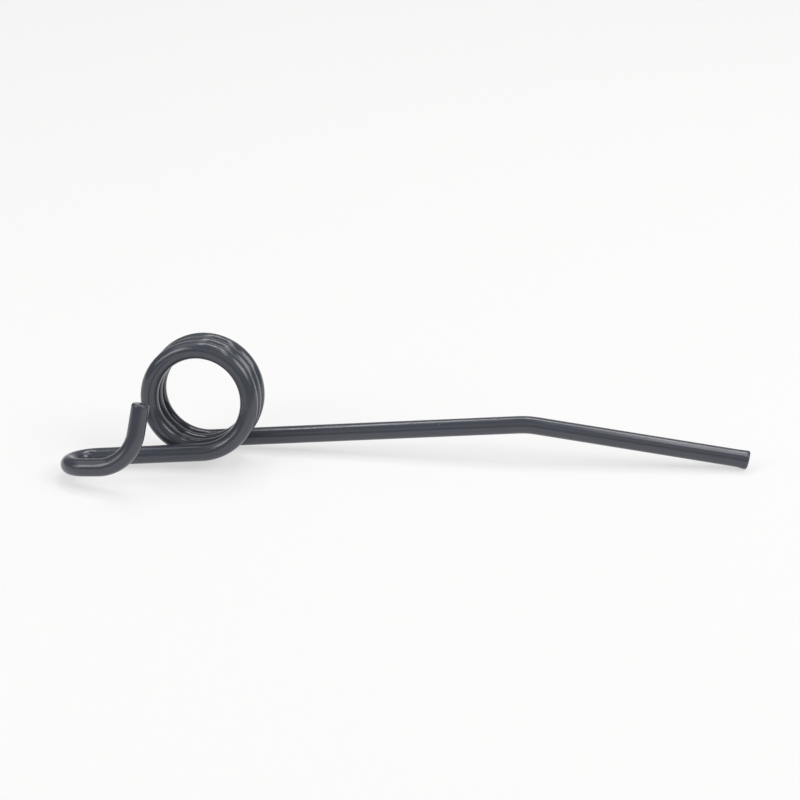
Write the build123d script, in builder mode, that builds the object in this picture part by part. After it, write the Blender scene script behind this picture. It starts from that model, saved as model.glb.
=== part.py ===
from build123d import *
import os

# A spring tine: one length of round spring wire with a mounting hook, a close wound
# coil and a working arm. Sizes are in millimetres, angles in degrees.

# Wire
wire_diameter = 12
hook_end_rounding = 1.7

# Coil, wound left hand about a level axis
coil_inside_diameter = 57.5
coil_turns = 3
turn_gap = 0.2

# Mounting hook, from the coil outwards
leg_length = 70
hook_bend_radius = 16.5
hook_bend_angle = 170
hook_tilt = 3
foot_length = 8.8
riser_bend_radius = 29
riser_bend_angle = 77.5
riser_lean = 8
riser_length = 20

# Working arm, from the coil outwards
arm_length = 210
arm_bend_radius = 60
arm_bend_angle = 12
tip_length = 137.2

# Cropped end of the arm, which the shear left slightly off square, with a low lip underneath
lip_length = 5
lip_height = 0.7
flare_height = 0.2
crop_angle = 4
rim_length = 2.5
rim_rounding = 1.2

# How finely the resting place is looked for
settling_rounds = 6
sample_count = 400

# Sizes that follow from those above
wire_radius = wire_diameter / 2
coil_radius = coil_inside_diameter / 2 + wire_radius
coil_pitch = wire_diameter + turn_gap
coil_length = coil_turns * coil_pitch
rim_radius = wire_radius + (lip_height + flare_height) / 2
rim_drop = (lip_height - flare_height) / 2
across = Vector(0, 1, 0)
upwards = Vector(0, 0, 1)


# Pieces of the centreline, each from a point and a heading
def straight(start, heading, length):
    return Line(start, start + heading * length)


def bend(start, heading, turning, radius, angle):
    spoke = turning.cross(heading) * -radius
    centre = start - spoke
    axis = Axis(centre, turning)
    middle, end = (centre + spoke.rotate(axis, turn) for turn in (angle / 2, angle))
    return ThreePointArc(start, middle, end)


with BuildPart() as tine:
    # Centreline of the coil by half turns, then of the hook and of the arm that run out of it
    with BuildLine():
        half_turn = Helix(
            pitch=coil_pitch,
            height=coil_pitch / 2,
            radius=coil_radius,
            center=across * (-coil_length / 2),
            direction=across,
            lefthand=True,
            mode=Mode.PRIVATE,
        )
        coil = [
            half_turn.rotate(Axis.Y, 180 * (index + 1)).translate(across * (index * coil_pitch / 2))
            for index in range(2 * coil_turns)
        ]

        leg = straight(coil[0] @ 0, -(coil[0] % 0), leg_length)
        hook_axis = upwards.rotate(Axis(leg @ 1, leg % 1), hook_tilt)
        hook = bend(leg @ 1, leg % 1, hook_axis, hook_bend_radius, hook_bend_angle)
        foot = straight(hook @ 1, hook % 1, foot_length)
        riser_axis = (foot % 1).cross(upwards).normalized().rotate(Axis(foot @ 1, foot % 1), -riser_lean)
        riser_bend = bend(foot @ 1, foot % 1, riser_axis, riser_bend_radius, riser_bend_angle)
        riser = straight(riser_bend @ 1, riser_bend % 1, riser_length)

        arm = straight(coil[-1] @ 1, coil[-1] % 1, arm_length)
        arm_axis = upwards.cross(arm % 1).normalized()
        arm_bend = bend(arm @ 1, arm % 1, arm_axis, arm_bend_radius, arm_bend_angle)
        tip = straight(arm_bend @ 1, arm_bend % 1, tip_length)

    # The wire itself, a face for each stretch, with the edge of its square cut hook end softened
    with BuildSketch(Plane(origin=riser @ 1, z_dir=riser % 1)):
        Circle(wire_radius)
    sweep(path=[riser, riser_bend, foot, hook, leg, *coil, arm, arm_bend, tip], clean=False)
    hook_end = tine.faces().filter_by(GeomType.PLANE).sort_by_distance(riser @ 1)[0]
    fillet(hook_end.edges(), hook_end_rounding)

    # Cropped end: the wire flares, most of all downwards into the lip, and ends in a rounded rim
    underside = arm_axis.cross(tip % 1)
    rim_start = tip @ 1 + (tip % 1) * lip_length + underside * rim_drop
    crop_heading = (tip % 1).rotate(Axis(tip @ 1, arm_axis), crop_angle)
    with BuildSketch(Plane(origin=tip @ 1, z_dir=tip % 1)):
        Circle(wire_radius)
    with BuildSketch(Plane(origin=rim_start, z_dir=crop_heading)) as rim_section:
        Circle(rim_radius)
    loft(clean=False)
    extrude(rim_section.sketch, amount=rim_length, dir=tip % 1, clean=False)
    cropped_end = tine.faces().filter_by(GeomType.PLANE).sort_by_distance(rim_start)[0]
    fillet(cropped_end.edges(), rim_rounding)


# The tine lies on three points: under its hook, under the coil's last turn and on its tip
def samples(line):
    return [line @ (index / sample_count) for index in range(sample_count + 1)]


def resting_plane(hook_points, coil_points, tip_point):
    up = upwards
    for _ in range(settling_rounds):
        low_hook = min(hook_points, key=up.dot)
        low_coil = min(coil_points, key=up.dot)
        up = (tip_point - low_hook).cross(low_coil - low_hook).normalized()
    return Plane(origin=low_hook, x_dir=across.cross(up), z_dir=up)


floor = resting_plane(
    hook_points=samples(hook) + samples(foot) + samples(riser_bend),
    coil_points=samples(coil[-1]),
    tip_point=rim_start + underside * (rim_radius - wire_radius),
)

# Laid down, with the origin on the floor under the middle of its outline
laid = floor.to_local_coords(tine.part)
outline = laid.bounding_box()
spring_tine = laid.translate((-outline.center().X, -outline.center().Y, -outline.min.Z))
spring_tine.label = "spring_tine"

os.makedirs("parts", exist_ok=True)
export_step(spring_tine, "parts/spring_tine.step")
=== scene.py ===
import math

import bpy
from mathutils import Matrix, Vector


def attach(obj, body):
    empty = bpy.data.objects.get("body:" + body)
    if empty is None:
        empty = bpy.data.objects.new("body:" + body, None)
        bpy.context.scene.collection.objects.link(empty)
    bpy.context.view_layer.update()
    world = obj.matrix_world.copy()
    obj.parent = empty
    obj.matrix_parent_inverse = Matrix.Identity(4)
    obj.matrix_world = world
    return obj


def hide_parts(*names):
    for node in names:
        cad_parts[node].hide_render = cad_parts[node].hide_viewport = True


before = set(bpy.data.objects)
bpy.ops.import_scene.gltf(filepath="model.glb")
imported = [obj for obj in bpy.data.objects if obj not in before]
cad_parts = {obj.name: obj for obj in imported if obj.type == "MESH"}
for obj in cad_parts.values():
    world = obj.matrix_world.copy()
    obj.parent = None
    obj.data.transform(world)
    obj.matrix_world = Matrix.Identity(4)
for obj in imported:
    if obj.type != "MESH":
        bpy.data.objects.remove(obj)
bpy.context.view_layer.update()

mm = 0.001


def linear(hexColour):
    # sRGB hex to the linear values that a shader socket takes
    parts = [int(hexColour[i:i + 2], 16) / 255 for i in (1, 3, 5)]
    return [c / 12.92 if c <= 0.04045 else ((c + 0.055) / 1.055) ** 2.4 for c in parts] + [1.0]


def addNode(tree, kind, settings=None, links=None):
    # settings: a node's own properties, or values of its inputs; links: input to the output that feeds it
    node = tree.nodes.new(kind)
    inputNames = [socket.name for socket in node.inputs]
    for key, value in (settings or {}).items():
        if isinstance(key, int) or key in inputNames:
            node.inputs[key].default_value = value
        else:
            setattr(node, key, value)
    for key, output in (links or {}).items():
        tree.links.new(output, node.inputs[key])
    return node


# sizes of the wire and of its bends, in millimetres and degrees
wire = {
    "diameter": 12.0,
    "coilInsideDiameter": 57.5,
    "coilTurns": 3,
    "turnGap": 0.2,
    "legLength": 70.0,
    "hookBendRadius": 16.5,
    "hookBendAngle": 170.0,
    "hookTilt": 3.0,
    "footLength": 8.8,
    "riserBendRadius": 29.0,
    "riserBendAngle": 77.5,
    "riserLean": 8.0,           # towards the coil
    "riserLength": 20.0,
    "hookEndRounding": 1.7,
    "armLength": 210.0,
    "armBendRadius": 60.0,
    "armBendAngle": 12.0,
    "tipLength": 137.2,
    "lipLength": 5.0,           # the shear drew the arm's end out, mostly downwards into a lip
    "lipHeight": 0.7,
    "flareHeight": 0.2,
    "cropAngle": 4.0,           # off square
    "rimLength": 2.5,
    "rimRounding": 1.2,
    "sidesRound": 64,
    "bendStep": 3.0,            # degrees between two rings in a bend
    "straightStep": 8.0,
    "roundingSteps": 8,
    "coilCentre": (-140.641, 14.464, 43.356),       # as the tine lies on the floor
    "lyingX": (0.995367, 0.0, -0.096146),           # the floor's own axes, seen from the coil
    "lyingZ": (0.094799, -0.166813, 0.981421),
}

upwards = Vector((0, 0, 1))


def straightPoints(start, heading, length):
    count = max(1, math.ceil(length / wire["straightStep"]))
    return [start + heading * (length * i / count) for i in range(count + 1)], heading


def bendPoints(start, heading, turning, radius, angle):
    spoke = turning.cross(heading) * -radius        # from the bend's centre out to the wire
    count = max(2, math.ceil(angle / wire["bendStep"]))
    turns = [Matrix.Rotation(math.radians(angle * i / count), 3, turning) for i in range(count + 1)]
    return [start - spoke + turn @ spoke for turn in turns], turns[-1] @ heading


def roundedEnd(start, heading, length, radius, rounding):
    # rings that run out along a straight and close in over a rounded edge
    steps = wire["roundingSteps"]
    rings = []
    for i in range(steps + 1):
        turn = math.pi / 2 * i / steps
        along = length - rounding * (1 - math.sin(turn))
        rings.append((start + heading * along, radius - rounding * (1 - math.cos(turn))))
    return rings


def traceWire():
    # rings of the wire from its hook end to its arm end: centre, radius and how far it hangs down
    wireRadius = wire["diameter"] / 2
    coilRadius = wire["coilInsideDiameter"] / 2 + wireRadius
    pitch = wire["diameter"] + wire["turnGap"]
    slope = Vector((2 * math.pi * coilRadius, pitch, 0)).normalized()

    # hook, from the coil outwards
    start = Vector((0, -wire["coilTurns"] * pitch / 2, -coilRadius))
    leg, heading = straightPoints(start, -slope, wire["legLength"])
    hookAxis = Matrix.Rotation(math.radians(wire["hookTilt"]), 3, heading) @ upwards
    hook, heading = bendPoints(leg[-1], heading, hookAxis, wire["hookBendRadius"], wire["hookBendAngle"])
    foot, heading = straightPoints(hook[-1], heading, wire["footLength"])
    lean = Matrix.Rotation(math.radians(-wire["riserLean"]), 3, heading)
    riserAxis = lean @ heading.cross(upwards).normalized()
    riserBend, heading = bendPoints(foot[-1], heading, riserAxis, wire["riserBendRadius"], wire["riserBendAngle"])
    riser, heading = straightPoints(riserBend[-1], heading, wire["riserLength"] - 2 * wire["hookEndRounding"])
    hookEnd = roundedEnd(riserBend[-1], heading, wire["riserLength"], wireRadius, wire["hookEndRounding"])
    hookSide = leg[:-1] + hook[:-1] + foot[:-1] + riserBend[:-1] + riser
    rings = [(point, radius, 0.0) for point, radius in reversed(hookEnd)]
    rings += [(point, wireRadius, 0.0) for point in reversed(hookSide)]

    # coil, wound left hand from underneath
    count = round(wire["coilTurns"] * 360 / wire["bendStep"])
    for i in range(1, count):
        turn = 2 * math.pi * wire["coilTurns"] * i / count
        along = start.y + pitch * turn / (2 * math.pi)
        place = Vector((coilRadius * math.sin(turn), along, -coilRadius * math.cos(turn)))
        rings.append((place, wireRadius, 0.0))

    # arm, with its cropped end
    start = Vector((0, wire["coilTurns"] * pitch / 2, -coilRadius))
    arm, heading = straightPoints(start, slope, wire["armLength"])
    armAxis = upwards.cross(heading).normalized()
    armBend, heading = bendPoints(arm[-1], heading, armAxis, wire["armBendRadius"], wire["armBendAngle"])
    tip, heading = straightPoints(armBend[-1], heading, wire["tipLength"])
    rings += [(point, wireRadius, 0.0) for point in arm[:-1] + armBend[:-1] + tip]
    lip, heading = straightPoints(tip[-1], heading, wire["lipLength"])
    underside = armAxis.cross(heading)
    cropHeading = Matrix.Rotation(math.radians(wire["cropAngle"]), 3, armAxis) @ heading
    rimRadius = wireRadius + (wire["lipHeight"] + wire["flareHeight"]) / 2
    drop = (wire["lipHeight"] - wire["flareHeight"]) / 2
    rim = [(lip[-1], rimRadius)]
    rim += roundedEnd(lip[-1], cropHeading, wire["rimLength"], rimRadius, wire["rimRounding"])
    rings += [(point, radius, drop - underside.dot(point - lip[-1])) for point, radius in rim]
    return rings, underside


def layDown():
    # turns and moves the wire from the coil's own axes to where it lies on the floor
    lyingX, lyingZ = Vector(wire["lyingX"]), Vector(wire["lyingZ"])
    return Matrix((lyingX, lyingZ.cross(lyingX), lyingZ)), Vector(wire["coilCentre"])


def pathObject(rings, turn, place):
    path = bpy.data.meshes.new("wirePath")
    points = [(turn @ ring[0] + place) * mm for ring in rings]
    path.from_pydata(points, [(i, i + 1) for i in range(len(points) - 1)], [])
    values = {
        "ringRadius": [ring[1] * mm for ring in rings],
        "ringDrop": [ring[2] * mm for ring in rings],
        "cutFace": [1.0] + [0.0] * (len(rings) - 2) + [1.0],
    }
    for name, numbers in values.items():
        path.attributes.new(name, "FLOAT", "POINT").data.foreach_set("value", numbers)
    obj = bpy.data.objects.new("wirePath", path)
    bpy.context.scene.collection.objects.link(obj)
    return obj


def bentWireTree():
    # sweeps a round section along the path and keeps the unbent wire's own coordinates on it
    tree = bpy.data.node_groups.new("Bent wire", "GeometryNodeTree")
    tree.interface.new_socket("Geometry", in_out="INPUT", socket_type="NodeSocketGeometry")
    tree.interface.new_socket("Wire diameter", in_out="INPUT", socket_type="NodeSocketFloat")
    tree.interface.new_socket("Sides round", in_out="INPUT", socket_type="NodeSocketInt")
    tree.interface.new_socket("Underside", in_out="INPUT", socket_type="NodeSocketVector")
    tree.interface.new_socket("Coating", in_out="INPUT", socket_type="NodeSocketMaterial")
    tree.interface.new_socket("Geometry", in_out="OUTPUT", socket_type="NodeSocketGeometry")
    given = addNode(tree, "NodeGroupInput")

    ringRadius = addNode(tree, "GeometryNodeInputNamedAttribute", {"Name": "ringRadius"})
    ringDrop = addNode(tree, "GeometryNodeInputNamedAttribute", {"Name": "ringDrop"})
    along = addNode(tree, "GeometryNodeSplineParameter")
    line = addNode(tree, "GeometryNodeMeshToCurve", links={"Mesh": given.outputs["Geometry"]})
    untwisted = addNode(tree, "GeometryNodeSetCurveNormal", {"mode": "MINIMUM_TWIST"},
                        {"Curve": line.outputs["Curve"]})
    measured = addNode(tree, "GeometryNodeStoreNamedAttribute",
                       {"data_type": "FLOAT", "domain": "POINT", "Name": "alongWire"},
                       {"Geometry": untwisted.outputs["Curve"], "Value": along.outputs["Length"]})

    half = addNode(tree, "ShaderNodeMath", {"operation": "MULTIPLY", 1: 0.5}, {0: given.outputs["Wire diameter"]})
    section = addNode(tree, "GeometryNodeCurvePrimitiveCircle", {"mode": "RADIUS"},
                      {"Resolution": given.outputs["Sides round"], "Radius": half.outputs[0]})
    place = addNode(tree, "GeometryNodeInputPosition")
    roundSection = addNode(tree, "GeometryNodeStoreNamedAttribute",
                           {"data_type": "FLOAT_VECTOR", "domain": "POINT", "Name": "roundWire"},
                           {"Geometry": section.outputs["Curve"], "Value": place.outputs["Position"]})
    share = addNode(tree, "ShaderNodeMath", {"operation": "DIVIDE"},
                    {0: ringRadius.outputs["Attribute"], 1: half.outputs[0]})
    swept = addNode(tree, "GeometryNodeCurveToMesh", {"Fill Caps": True}, {
        "Curve": measured.outputs["Geometry"],
        "Profile Curve": roundSection.outputs["Geometry"],
        "Scale": share.outputs[0],
    })

    down = addNode(tree, "ShaderNodeVectorMath", {"operation": "SCALE"},
                   {0: given.outputs["Underside"], "Scale": ringDrop.outputs["Attribute"]})
    lipped = addNode(tree, "GeometryNodeSetPosition",
                     links={"Geometry": swept.outputs["Mesh"], "Offset": down.outputs[0]})
    roundWire = addNode(tree, "GeometryNodeInputNamedAttribute", {"data_type": "FLOAT_VECTOR", "Name": "roundWire"})
    alongWire = addNode(tree, "GeometryNodeInputNamedAttribute", {"Name": "alongWire"})
    parts = addNode(tree, "ShaderNodeSeparateXYZ", links={0: roundWire.outputs["Attribute"]})
    unbent = addNode(tree, "ShaderNodeCombineXYZ",
                     links={"X": alongWire.outputs["Attribute"], "Y": parts.outputs["X"], "Z": parts.outputs["Y"]})
    kept = addNode(tree, "GeometryNodeStoreNamedAttribute",
                   {"data_type": "FLOAT_VECTOR", "domain": "POINT", "Name": "unbentWire"},
                   {"Geometry": lipped.outputs["Geometry"], "Value": unbent.outputs["Vector"]})
    smooth = addNode(tree, "GeometryNodeSetShadeSmooth", links={"Geometry": kept.outputs["Geometry"]})
    real = addNode(tree, "GeometryNodeRealizeInstances", links={"Geometry": smooth.outputs["Geometry"]})
    coated = addNode(tree, "GeometryNodeSetMaterial",
                     links={"Geometry": real.outputs["Geometry"], "Material": given.outputs["Coating"]})
    addNode(tree, "NodeGroupOutput", links={"Geometry": coated.outputs["Geometry"]})
    return tree


def makeTine(coating):
    rings, underside = traceWire()
    turn, place = layDown()
    path = pathObject(rings, turn, place)
    tree = bentWireTree()
    modifier = path.modifiers.new("Bent wire", "NODES")
    modifier.node_group = tree
    values = {
        "Wire diameter": wire["diameter"] * mm,
        "Sides round": wire["sidesRound"],
        "Underside": list(turn @ underside),
        "Coating": coating,
    }
    for item in tree.interface.items_tree:
        if item.item_type == "SOCKET" and item.in_out == "INPUT" and item.name in values:
            modifier[item.identifier] = values[item.name]
    depsgraph = bpy.context.evaluated_depsgraph_get()
    mesh = bpy.data.meshes.new_from_object(path.evaluated_get(depsgraph), depsgraph=depsgraph)
    bpy.data.objects.remove(path)
    mesh.name = "springTine"
    tine = bpy.data.objects.new("springTine", mesh)
    bpy.context.scene.collection.objects.link(tine)
    return tine


# dipped enamel on spring wire, a dark slate blue; sizes in millimetres, from crest to crest or from speck to speck
coat = {
    "colour": "#4D5059",
    "thinColour": "#474A54",        # where it ran thin and the dark steel shows through
    "roughness": (0.15, 0.22),      # polished, and slightly dulled where it ran thin
    "refraction": 1.53,             # of enamel
    "cloudSize": 38.0,
    "cloudRange": (0.35, 0.65),     # of the noise, from thin to thick
    "peelSize": 3.2,                # orange peel; a real one is half as wide, finer than the picture shows
    "peelHeight": 0.003,
    "runLength": 34.0,              # low sags that the enamel left as it drained along the wire
    "runWidth": 7.0,
    "runHeight": 0.008,
    "dustColour": "#8F8A80",
    "dustSize": 0.7,
    "dustSpacing": 9.0,             # before most specks are left out
    "dustShare": 0.3,
    "cutMarkLength": 9.0,           # lines that the shear left across the cut faces, under the enamel
    "cutMarkWidth": 1.2,
    "cutMarkHeight": 0.012,
}


def perMetre(*sizes):
    # how often a pattern of these sizes repeats in a metre, along the wire and across it
    return tuple(1 / (size * mm) for size in sizes)


def dippedEnamel():
    # what the eye sees: a deep slate blue with clean, slightly wavering highlights, a few dust specks and thin places
    material = bpy.data.materials.new("dippedEnamelOnSpringSteel")
    material.use_nodes = True
    tree = material.node_tree
    tree.nodes.clear()
    place = addNode(tree, "ShaderNodeAttribute", {"attribute_name": "unbentWire"}).outputs["Vector"]

    # cloudy colour and sheen
    cloudPlace = addNode(tree, "ShaderNodeMapping", {"Scale": perMetre(*[coat["cloudSize"]] * 3)}, {"Vector": place})
    cloud = addNode(tree, "ShaderNodeTexNoise", {"Scale": 1.0, "Detail": 2.0}, {"Vector": cloudPlace.outputs[0]})
    clouded = addNode(tree, "ShaderNodeMix",
                      {"data_type": "RGBA", 6: linear(coat["thinColour"]), 7: linear(coat["colour"])},
                      {0: cloud.outputs["Fac"]})
    thin, thick = coat["cloudRange"]
    polished, dulled = coat["roughness"]
    sheen = addNode(tree, "ShaderNodeMapRange",
                    {"From Min": thin, "From Max": thick, "To Min": dulled, "To Max": polished},
                    {"Value": cloud.outputs["Fac"]})

    # dust specks that settled in it, in some of the cells
    dustPlace = addNode(tree, "ShaderNodeMapping", {"Scale": perMetre(*[coat["dustSpacing"]] * 3)}, {"Vector": place})
    speck = addNode(tree, "ShaderNodeTexVoronoi", {"Scale": 1.0}, {"Vector": dustPlace.outputs[0]})
    speckRadius = coat["dustSize"] / 2 / coat["dustSpacing"]
    within = addNode(tree, "ShaderNodeMath", {"operation": "LESS_THAN", 1: speckRadius},
                     {0: speck.outputs["Distance"]})
    chance = addNode(tree, "ShaderNodeSeparateColor", links={"Color": speck.outputs["Color"]})
    chosen = addNode(tree, "ShaderNodeMath", {"operation": "LESS_THAN", 1: coat["dustShare"]},
                     {0: chance.outputs["Red"]})
    dust = addNode(tree, "ShaderNodeMath", {"operation": "MULTIPLY"}, {0: within.outputs[0], 1: chosen.outputs[0]})
    coloured = addNode(tree, "ShaderNodeMix", {"data_type": "RGBA", 7: linear(coat["dustColour"])},
                       {0: dust.outputs[0], 6: clouded.outputs[2]})

    # relief in metres: orange peel, sags along the wire and shear marks on the cut faces
    peelPlace = addNode(tree, "ShaderNodeMapping", {"Scale": perMetre(*[coat["peelSize"]] * 3)}, {"Vector": place})
    peel = addNode(tree, "ShaderNodeTexNoise", {"Scale": 1.0, "Detail": 1.0}, {"Vector": peelPlace.outputs[0]})
    runScale = perMetre(coat["runLength"], coat["runWidth"], coat["runWidth"])
    runPlace = addNode(tree, "ShaderNodeMapping", {"Scale": runScale}, {"Vector": place})
    runs = addNode(tree, "ShaderNodeTexNoise", {"Scale": 1.0, "Detail": 1.0}, {"Vector": runPlace.outputs[0]})
    markScale = perMetre(coat["cutMarkLength"], coat["cutMarkWidth"], coat["cutMarkLength"])
    markPlace = addNode(tree, "ShaderNodeMapping", {"Scale": markScale}, {"Vector": place})
    marks = addNode(tree, "ShaderNodeTexNoise", {"Scale": 1.0, "Detail": 2.0}, {"Vector": markPlace.outputs[0]})
    cut = addNode(tree, "ShaderNodeAttribute", {"attribute_name": "cutFace"})
    cutMarks = addNode(tree, "ShaderNodeMath", {"operation": "MULTIPLY"},
                       {0: marks.outputs["Fac"], 1: cut.outputs["Fac"]})
    peeled = addNode(tree, "ShaderNodeMath", {"operation": "MULTIPLY", 1: coat["peelHeight"] * mm},
                     {0: peel.outputs["Fac"]})
    sagged = addNode(tree, "ShaderNodeMath", {"operation": "MULTIPLY_ADD", 1: coat["runHeight"] * mm},
                     {0: runs.outputs["Fac"], 2: peeled.outputs[0]})
    height = addNode(tree, "ShaderNodeMath", {"operation": "MULTIPLY_ADD", 1: coat["cutMarkHeight"] * mm},
                     {0: cutMarks.outputs[0], 2: sagged.outputs[0]})
    relief = addNode(tree, "ShaderNodeBump", {"Strength": 1.0, "Distance": 1.0}, {"Height": height.outputs[0]})

    shader = addNode(tree, "ShaderNodeBsdfPrincipled", {"IOR": coat["refraction"]}, {
        "Base Color": coloured.outputs[2],
        "Roughness": sheen.outputs["Result"],
        "Normal": relief.outputs["Normal"],
    })
    addNode(tree, "ShaderNodeOutputMaterial", links={"Surface": shader.outputs["BSDF"]})
    return material


tine = makeTine(dippedEnamel())
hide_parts("spring_tine")
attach(tine, "root")
print("tine:", len(tine.data.polygons), "faces")

# floor, backdrop and lamps, in metres; each lamp stands towards (turn from straight behind, height), in degrees
studio = {
    "floorColour": "#F8F8F7",
    "floorWhite": 0.6,          # share of plain white in what the camera sees of the floor
    "floorSize": 12.0,
    "backdropColour": "#E9E9E8",
    "backdropPlace": 3.6,
    "backdropHeight": 2.4,
    "skyLight": 0.1,
    "lamps": {
        "overhead": {"towards": (4, 60), "away": 3.6, "size": (1.1, 0.73), "turned": -30, "glow": 6.8},
        "rightSide": {"towards": (97, 43), "away": 2.8, "size": (1.85, 1.25), "turned": 10, "glow": 4.6},
        "leftFront": {"towards": (-130, 36), "away": 2.25, "size": (0.95, 0.6), "turned": -17, "glow": 4.3},
        "leftLow": {"towards": (-122, 23), "away": 2.25, "size": (1.1, 0.6), "turned": 0, "glow": 2.4},
        "leftSide": {"towards": (-84, 56), "away": 3.0, "size": (2.6, 1.5), "turned": 0, "glow": 0.8},
        "frontSide": {"towards": (176, 38), "away": 3.0, "size": (2.6, 1.6), "turned": 0, "glow": 0.4},
        "stripLeft": {"towards": (-31, 65), "away": 3.4, "size": (1.97, 0.27), "turned": 49, "glow": 8.2},
        "stripRight": {"towards": (55, 71), "away": 2.45, "size": (3.0, 0.27), "turned": -32, "glow": 4.6},
    },
}


def plainSheet(name, corners, colour, paperWhite=0.0):
    mesh = bpy.data.meshes.new(name)
    mesh.from_pydata(corners, [], [(0, 1, 2, 3)])
    sheet = bpy.data.objects.new(name, mesh)
    bpy.context.scene.collection.objects.link(sheet)
    material = bpy.data.materials.new(name + "Paper")
    material.use_nodes = True
    tree = material.node_tree
    tree.nodes.clear()
    surface = addNode(tree, "ShaderNodeBsdfDiffuse", {"Color": linear(colour)}).outputs["BSDF"]
    if paperWhite:
        # partly plain white to the camera and in reflections, so it looks like white paper and keeps a soft shadow
        ray = addNode(tree, "ShaderNodeLightPath")
        mirrored = addNode(tree, "ShaderNodeMath", {"operation": "MAXIMUM"},
                           {0: ray.outputs["Is Glossy Ray"], 1: ray.outputs["Is Transmission Ray"]})
        seen = addNode(tree, "ShaderNodeMath", {"operation": "MAXIMUM"},
                       {0: ray.outputs["Is Camera Ray"], 1: mirrored.outputs[0]})
        share = addNode(tree, "ShaderNodeMath", {"operation": "MULTIPLY", 1: paperWhite}, {0: seen.outputs[0]})
        white = addNode(tree, "ShaderNodeEmission", {"Strength": 1.0})
        mixed = addNode(tree, "ShaderNodeMixShader",
                        links={0: share.outputs[0], 1: surface, 2: white.outputs["Emission"]})
        surface = mixed.outputs["Shader"]
    addNode(tree, "ShaderNodeOutputMaterial", links={"Surface": surface})
    mesh.materials.append(material)


def makeStudio():
    half, far, top = studio["floorSize"] / 2, studio["backdropPlace"], studio["backdropHeight"]
    plainSheet("floor", [(-half, -half, 0), (half, -half, 0), (half, half, 0), (-half, half, 0)],
               studio["floorColour"], studio["floorWhite"])
    plainSheet("backdrop", [(-half, far, 0), (half, far, 0), (half, far, top), (-half, far, top)],
               studio["backdropColour"])
    world = bpy.data.worlds.new("studio")
    bpy.context.scene.world = world
    world.use_nodes = True
    tree = world.node_tree
    tree.nodes.clear()
    sky = addNode(tree, "ShaderNodeBackground", {"Color": (1, 1, 1, 1), "Strength": studio["skyLight"]})
    addNode(tree, "ShaderNodeOutputWorld", links={"Surface": sky.outputs[0]})
    for name, lamp in studio["lamps"].items():
        softBox(name, lamp)


def softBox(name, lamp):
    light = bpy.data.lights.new(name, "AREA")
    light.shape = "RECTANGLE"
    light.size, light.size_y = lamp["size"]
    light.energy = lamp["glow"] * math.pi * light.size * light.size_y      # watts for that glow
    turn, lift = (math.radians(angle) for angle in lamp["towards"])
    away = Vector((math.sin(turn) * math.cos(lift), math.cos(turn) * math.cos(lift), math.sin(lift)))
    obj = bpy.data.objects.new(name, light)
    obj.location = away * lamp["away"]
    facing = (-away).to_track_quat("-Z", "Y").to_matrix()
    obj.rotation_euler = (facing @ Matrix.Rotation(math.radians(lamp["turned"]), 3, "Z")).to_euler()
    bpy.context.scene.collection.objects.link(obj)


makeStudio()
print("studio: floor, backdrop and lamps")

# the photograph's viewpoint, in degrees and metres, with the lens in millimetres
shot = {
    "azimuth": 7.869,
    "elevation": 24.407,
    "roll": 0.401,
    "distance": 1.723,
    "target": (-0.004006, -0.000188, 0.056118),
    "lens": 117.0,
    "seesFrom": 0.05,
    "seesTo": 50.0,
}


def makeCamera():
    camera = bpy.data.cameras.new("camera")
    camera.lens = shot["lens"]
    camera.clip_start, camera.clip_end = shot["seesFrom"], shot["seesTo"]
    obj = bpy.data.objects.new("camera", camera)
    turn, lift = math.radians(shot["azimuth"]), math.radians(shot["elevation"])
    back = Vector((math.sin(turn) * math.cos(lift), -math.cos(turn) * math.cos(lift), math.sin(lift)))
    obj.location = Vector(shot["target"]) + back * shot["distance"]
    facing = (-back).to_track_quat("-Z", "Y").to_matrix()
    obj.rotation_euler = (facing @ Matrix.Rotation(math.radians(shot["roll"]), 3, "Z")).to_euler()
    bpy.context.scene.collection.objects.link(obj)
    bpy.context.scene.camera = obj


makeCamera()
bpy.context.scene.view_settings.view_transform = "Standard"
print("camera: the photograph's viewpoint")
